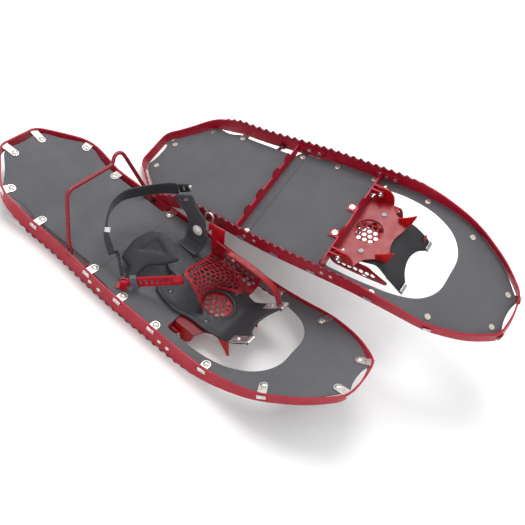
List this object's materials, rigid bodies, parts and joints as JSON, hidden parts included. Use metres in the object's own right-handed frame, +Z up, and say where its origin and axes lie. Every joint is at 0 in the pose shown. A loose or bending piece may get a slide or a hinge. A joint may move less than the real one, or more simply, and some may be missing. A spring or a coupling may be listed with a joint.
{
  "type": "pair of snowshoes",
  "caption": "Pair of snowshoes with toothed strip frames, fabric decks, tilting crampon bindings, rubber straps and wire heel lifters; one stands, its mirror image lies sole up.",
  "frame": {"origin": "bottom centre of the bounding box of the pair as laid out; the floor is Z = 0", "axes": "+X from the tail of the standing right shoe to its toe, the pair's longest way; +Y towards the inner side of the right foot, where the left shoe lies; +Z up"},
  "size_m": [0.7644, 0.3975, 0.2171],
  "materials": {
    "frame_red": "satin",
    "crampon_red": "gloss powder coat",
    "lifter_red": "gloss",
    "deck_fabric": "coated matte",
    "clip_metal": "pressed, satin",
    "rivet_metal": "domed, satin",
    "pin_steel": "brushed",
    "wire_steel": "polished",
    "black_plastic": "moulded",
    "charcoal_plastic": "moulded satin",
    "grey_sheet": "slightly see-through",
    "cradle_red": "moulded satin",
    "strap_red": "moulded satin",
    "black_strap": "embossed",
    "white_button": "gloss"
  },
  "bodies": {
    "right_frame": {"right_frame_rail": "frame_red", "right_deck": "deck_fabric", "right_deck_clips": "clip_metal", "right_deck_rivets": "rivet_metal", "right_pivot_crossbar": "frame_red", "right_heel_crossbar": "frame_red", "right_frame_rivets": "rivet_metal", "right_pivot_pins": "pin_steel", "right_lifter_caps": "black_plastic"},
    "right_lifter": {"right_heel_lifter": "lifter_red"},
    "right_binding": {"right_crampon": "crampon_red", "right_footbed": "charcoal_plastic", "right_toe_cradle": "cradle_red", "right_binding_rivets": "rivet_metal", "right_toe_clips": "clip_metal", "right_heel_pad": "charcoal_plastic", "right_tongue": "grey_sheet", "right_ankle_arm": "grey_sheet", "right_arm_button": "white_button", "right_ladder_strap": "strap_red", "right_ladder_button": "strap_red", "right_ladder_anchor": "strap_red", "right_ring_strap": "strap_red"},
    "right_ring": {"right_ring_buckle": "wire_steel"},
    "right_heel_loop": {"right_heel_strap": "black_strap", "right_heel_strap_tail": "black_strap", "right_heel_strap_clip": "black_plastic", "right_heel_buckle": "pin_steel"},
    "right_keeper": {"right_ladder_keeper": "black_plastic"},
    "left_frame": {"left_frame_rail": "frame_red", "left_deck": "deck_fabric", "left_deck_clips": "clip_metal", "left_deck_rivets": "rivet_metal", "left_pivot_crossbar": "frame_red", "left_heel_crossbar": "frame_red", "left_frame_rivets": "rivet_metal", "left_pivot_pins": "pin_steel", "left_lifter_caps": "black_plastic"},
    "left_lifter": {"left_heel_lifter": "lifter_red"},
    "left_binding": {"left_crampon": "crampon_red", "left_footbed": "charcoal_plastic", "left_toe_cradle": "cradle_red", "left_binding_rivets": "rivet_metal", "left_toe_clips": "clip_metal", "left_heel_pad": "charcoal_plastic", "left_tongue": "grey_sheet", "left_ankle_arm": "grey_sheet", "left_arm_button": "white_button", "left_ladder_strap": "strap_red", "left_ladder_button": "strap_red", "left_ladder_anchor": "strap_red", "left_ring_strap": "strap_red"},
    "left_ring": {"left_ring_buckle": "wire_steel"},
    "left_heel_loop": {"left_heel_strap": "black_strap", "left_heel_strap_tail": "black_strap", "left_heel_strap_clip": "black_plastic", "left_heel_buckle": "pin_steel"},
    "left_keeper": {"left_ladder_keeper": "black_plastic"}
  },
  "joints": [
    {"name": "right_binding_pivot", "type": "hinge", "parent": "right_frame", "child": "right_binding", "pos_m": [0.0232, -0.0932, 0.012], "axis": [0, 1, 0], "range_deg": [0, 50]},
    {"name": "right_lifter_fold", "type": "hinge", "parent": "right_frame", "child": "right_lifter", "pos_m": [-0.1718, -0.0932, 0.025], "axis": [0, -1, 0], "range_deg": [0, 39]},
    {"name": "right_ring_swing", "type": "hinge", "parent": "right_binding", "child": "right_ring", "pos_m": [-0.0488, -0.0267, 0.08], "axis": [0, 0, -1], "range_deg": [0, 100]},
    {"name": "right_heel_loop_swing", "type": "hinge", "parent": "right_binding", "child": "right_heel_loop", "pos_m": [-0.1128, -0.1572, 0.046], "axis": [0.0783, 0.9256, 0.3703], "range_deg": [-6, 13]},
    {"name": "right_keeper_slide", "type": "slide", "parent": "right_binding", "child": "right_keeper", "axis": [0.7649, 0.4927, 0.4149], "range_m": [0, 0.045]},
    {"name": "left_binding_pivot", "type": "hinge", "parent": "left_frame", "child": "left_binding", "pos_m": [0.12515, 0.09002, 0.16345], "axis": [0.1033, -0.9435, -0.3148], "range_deg": [0, 50]},
    {"name": "left_lifter_fold", "type": "hinge", "parent": "left_frame", "child": "left_lifter", "pos_m": [-0.05801, 0.0927, 0.09533], "axis": [-0.1033, 0.9435, 0.3148], "range_deg": [0, 32]},
    {"name": "left_ring_swing", "type": "hinge", "parent": "left_binding", "child": "left_ring", "pos_m": [0.06772, 0.17469, 0.1021], "axis": [0.2701, 0.3312, -0.9041], "range_deg": [0, 100]},
    {"name": "left_heel_loop_swing", "type": "hinge", "parent": "left_binding", "child": "left_heel_loop", "pos_m": [0.01075, 0.03976, 0.07325], "axis": [-0.0794, -0.9966, 0.0207], "range_deg": [-6, 13]},
    {"name": "left_keeper_slide", "type": "slide", "parent": "left_binding", "child": "left_keeper", "axis": [0.7934, 0.6087, 0.0011], "range_m": [0, 0.045]},
    {"name": "pair_lift", "type": "slide", "parent": "right_frame", "child": "left_frame", "axis": [0, 0, 1], "range_m": [0, 0.3]}
  ]
}
